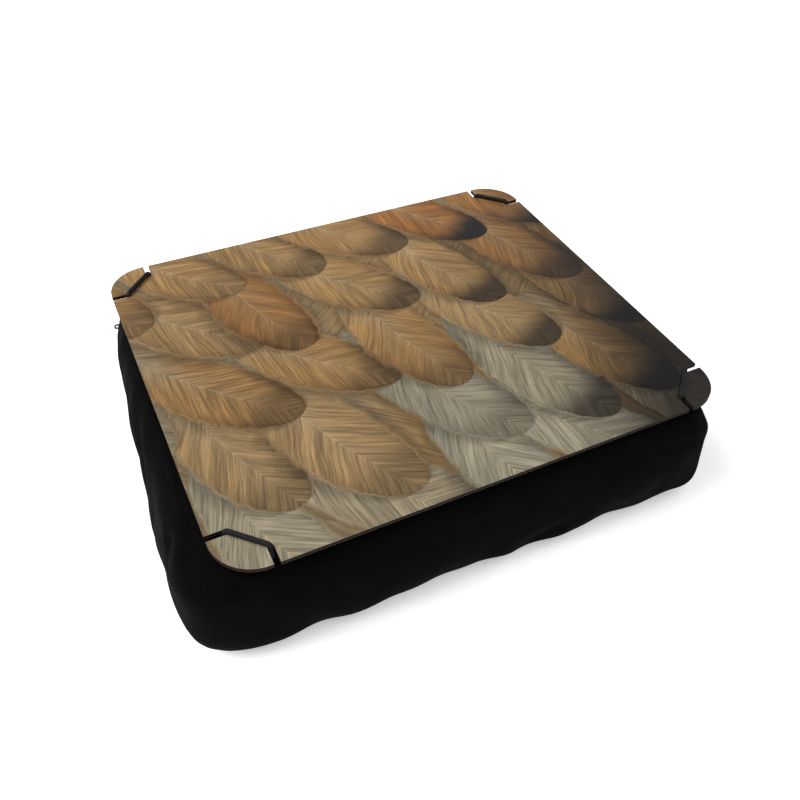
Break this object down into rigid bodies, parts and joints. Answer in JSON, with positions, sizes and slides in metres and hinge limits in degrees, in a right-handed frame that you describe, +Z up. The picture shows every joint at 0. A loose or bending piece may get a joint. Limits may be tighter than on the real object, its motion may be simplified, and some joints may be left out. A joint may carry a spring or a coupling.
{
  "type": "lap tray with cushion",
  "caption": "Rectangular lap tray with rounded corners and a glossy printed top, held by corner elastics on a black bead-filled cushion with a zip in its back wall.",
  "frame": {"origin": "on the floor, in the flat base of the cushion, under the middle of the tray board", "axes": "+X along the tray's long side to the right, +Y away from the person who uses it, +Z up through the tray's top face"},
  "size_m": [0.4273, 0.359, 0.104],
  "materials": {
    "printed_film": "gloss",
    "hardboard": "satin",
    "backing_sheet": "matte",
    "elastic": "matte",
    "cover_cloth": "matte",
    "bag_cloth": "matte",
    "beads": "matte",
    "zip_tape": "matte",
    "zip_teeth": "satin",
    "zip_metal": "satin"
  },
  "bodies": {
    "cushion": {"cover_top": "cover_cloth", "cover_side": "cover_cloth", "cover_bottom": "cover_cloth", "bead_bag": "bag_cloth", "bead_fill": "beads", "zip_tape_upper": "zip_tape", "zip_tape_lower": "zip_tape", "zip_teeth_upper": "zip_teeth", "zip_teeth_lower": "zip_teeth", "zip_end_stops": "zip_metal", "zip_base_stop": "zip_metal", "elastic_fl": "elastic", "elastic_fr": "elastic", "elastic_bl": "elastic", "elastic_br": "elastic"},
    "tray": {"tray_board": "hardboard", "tray_print": "printed_film", "tray_backing": "backing_sheet"},
    "slider": {"zip_slider": "zip_metal"},
    "pull": {"zip_pull": "zip_metal"}
  },
  "joints": [
    {"name": "tray_lift", "type": "slide", "parent": "cushion", "child": "tray", "axis": [0, 0, 1], "range_m": [0, 0.015], "stiffness_N_per_m": 300, "springref_m": -0.01, "deforming": ["elastic_fl", "elastic_fr", "elastic_bl", "elastic_br"]},
    {"name": "zip_slide", "type": "slide", "parent": "cushion", "child": "slider", "axis": [1, 0, 0], "range_m": [0, 0.33], "deforming": ["zip_teeth_upper", "zip_teeth_lower"]},
    {"name": "pull_swing", "type": "hinge", "parent": "slider", "child": "pull", "pos_m": [-0.1785, 0.17355, 0.052], "axis": [0.4226, 0, -0.9063], "range_deg": [0, 150]}
  ]
}
